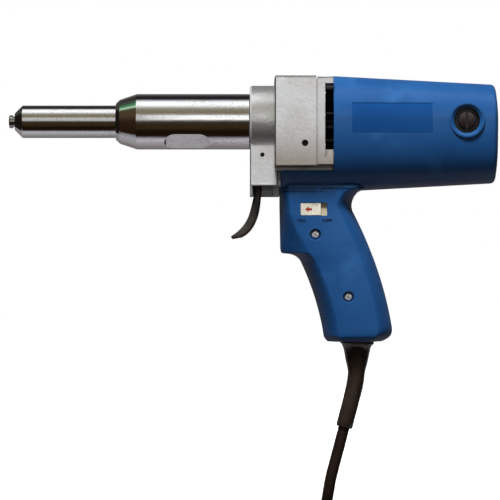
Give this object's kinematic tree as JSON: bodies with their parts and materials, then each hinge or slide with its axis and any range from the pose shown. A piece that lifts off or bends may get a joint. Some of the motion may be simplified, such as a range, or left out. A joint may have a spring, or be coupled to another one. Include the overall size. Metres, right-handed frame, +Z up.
{
  "type": "electric riveter",
  "caption": "Mains electric blind riveter with a pistol grip: chromed barrel, cast gear case with a trigger, blue motor housing, slide switch and a coiled cord with a plug.",
  "frame": {"origin": "middle of the grip, where the hand holds the tool", "axes": "+X along the barrel toward the motor with the nose at -X, +Z up, -Y the side with the switch"},
  "size_m": [0.3392, 0.139, 0.3261],
  "materials": {
    "turned_steel": "turned",
    "chrome": "polished, with fine turning marks",
    "hardened_steel": "ground and oiled",
    "spring_steel": "drawn wire",
    "cast_aluminium": "sanded and blasted casting",
    "bronze": "sintered or drawn",
    "zinc_plated_steel": "bright zinc",
    "black_trigger": "satin",
    "core_sheet": "stacked sheet",
    "enamelled_copper": "enamelled wire",
    "copper": "turned",
    "fan_nylon": "moulded",
    "carbon": "pressed",
    "brown_phenolic": "moulded",
    "blue_nylon": "moulded, fine texture",
    "switch_plastic": "moulded",
    "slider_plastic": "moulded",
    "capacitor_epoxy": "cast",
    "lead_pvc": "extruded",
    "black_rubber": "moulded",
    "cord_rubber": "extruded",
    "nickel_brass": "nickel plated"
  },
  "bodies": {
    "tool": {"nosepiece": "turned_steel", "front_sleeve": "chrome", "main_sleeve": "chrome", "return_spring": "spring_steel", "nut_bearings": "turned_steel", "gear_case": "cast_aluminium", "middle_housing": "cast_aluminium", "clutch_bearing": "turned_steel", "layshaft_bushes": "bronze", "case_screws": "zinc_plated_steel", "side_screw": "zinc_plated_steel", "trigger_pin": "turned_steel", "trigger_spring": "spring_steel", "front_bearing": "turned_steel", "rear_bearing": "turned_steel", "field_core": "core_sheet", "field_coils": "enamelled_copper", "brush_holders": "bronze", "brushes": "carbon", "brush_springs": "spring_steel", "brush_caps": "brown_phenolic", "motor_housing": "blue_nylon", "motor_screws": "zinc_plated_steel", "handle_cover": "blue_nylon", "handle_screws": "zinc_plated_steel", "switch_body": "switch_plastic", "capacitor": "capacitor_epoxy", "inner_leads": "lead_pvc", "cord_clamp": "fan_nylon", "clamp_screws": "zinc_plated_steel", "cord_guard": "black_rubber", "cord": "cord_rubber", "cord_coil": "cord_rubber", "cord_tie": "black_rubber", "plug_body": "black_rubber", "plug_pins": "nickel_brass"},
    "draw_unit": {"jaw_housing": "hardened_steel", "draw_screw": "hardened_steel", "jaw_spring": "spring_steel"},
    "jaw_1": {"jaw_1": "hardened_steel"},
    "jaw_2": {"jaw_2": "hardened_steel"},
    "jaw_3": {"jaw_3": "hardened_steel"},
    "jaw_pusher": {"jaw_pusher": "turned_steel"},
    "drive_nut": {"drive_nut": "hardened_steel", "clutch_cup": "turned_steel"},
    "armature": {"armature_shaft": "hardened_steel", "armature_core": "core_sheet", "armature_windings": "enamelled_copper", "commutator": "copper", "fan": "fan_nylon"},
    "layshaft": {"layshaft": "hardened_steel"},
    "clutch_gear": {"clutch_gear": "hardened_steel", "clutch_washer": "turned_steel", "clutch_spring": "spring_steel"},
    "clutch_sleeve": {"clutch_sleeve": "turned_steel"},
    "clutch_fork": {"clutch_fork": "turned_steel"},
    "trigger": {"trigger": "black_trigger"},
    "switch_slider": {"switch_slider": "slider_plastic"}
  },
  "joints": [
    {"name": "nut_spin", "type": "hinge", "parent": "tool", "child": "drive_nut", "pos_m": [-0.0855, 0, 0.1034], "axis": [1, 0, 0], "range_deg": [0, 1440]},
    {"name": "screw_draw", "type": "slide", "parent": "tool", "child": "draw_unit", "axis": [1, 0, 0], "range_m": [0, 0.02], "stiffness_N_per_m": 600, "springref_m": -0.015, "deforming": ["return_spring"]},
    {"name": "jaw_1_slide", "type": "slide", "parent": "draw_unit", "child": "jaw_1", "axis": [0.9889, 0, -0.1483], "range_m": [0, 0.0015], "stiffness_N_per_m": 100, "springref_m": -0.004},
    {"name": "jaw_2_slide", "type": "slide", "parent": "draw_unit", "child": "jaw_2", "axis": [0.9889, 0.1285, 0.0742], "range_m": [0, 0.0015]},
    {"name": "jaw_3_slide", "type": "slide", "parent": "draw_unit", "child": "jaw_3", "axis": [0.9889, -0.1285, 0.0742], "range_m": [0, 0.0015]},
    {"name": "pusher_slide", "type": "slide", "parent": "draw_unit", "child": "jaw_pusher", "axis": [1, 0, 0], "range_m": [0, 0.0015], "deforming": ["jaw_spring"]},
    {"name": "armature_spin", "type": "hinge", "parent": "tool", "child": "armature", "pos_m": [0.034, 0, 0.1034], "axis": [1, 0, 0], "continuous": true},
    {"name": "layshaft_spin", "type": "hinge", "parent": "tool", "child": "layshaft", "pos_m": [-0.0273, 0.01146, 0.11486], "axis": [1, 0, 0], "continuous": true},
    {"name": "clutch_gear_spin", "type": "hinge", "parent": "tool", "child": "clutch_gear", "pos_m": [-0.0378, 0, 0.1034], "axis": [1, 0, 0], "continuous": true},
    {"name": "trigger_pull", "type": "hinge", "parent": "tool", "child": "trigger", "pos_m": [-0.0551, 0, 0.0799], "axis": [0, -1, 0], "range_deg": [0, 10], "stiffness_Nm_per_rad": 0.3, "springref_deg": -20.05, "deforming": ["trigger_spring"]},
    {"name": "clutch_sleeve_slide", "type": "slide", "parent": "clutch_gear", "child": "clutch_sleeve", "axis": [-1, 0, 0], "range_m": [0, 0.0015], "deforming": ["clutch_spring"]},
    {"name": "clutch_fork_slide", "type": "slide", "parent": "tool", "child": "clutch_fork", "axis": [-1, 0, 0], "range_m": [0, 0.0015]},
    {"name": "switch_slide", "type": "slide", "parent": "tool", "child": "switch_slider", "axis": [1, 0, 0], "range_m": [0, 0.0042]}
  ],
  "couplings": [
    {"joint": "nut_spin", "follows": "screw_draw", "rad_per_m": 1256.6},
    {"joint": "jaw_2_slide", "follows": "jaw_1_slide", "ratio": 1},
    {"joint": "jaw_3_slide", "follows": "jaw_1_slide", "ratio": 1},
    {"joint": "pusher_slide", "follows": "jaw_1_slide", "ratio": 0.98894},
    {"joint": "layshaft_spin", "follows": "armature_spin", "ratio": -0.25581},
    {"joint": "clutch_gear_spin", "follows": "armature_spin", "ratio": 0.081112},
    {"joint": "clutch_sleeve_slide", "follows": "trigger_pull", "m_per_rad": 0.0085},
    {"joint": "clutch_fork_slide", "follows": "trigger_pull", "m_per_rad": 0.0085}
  ]
}
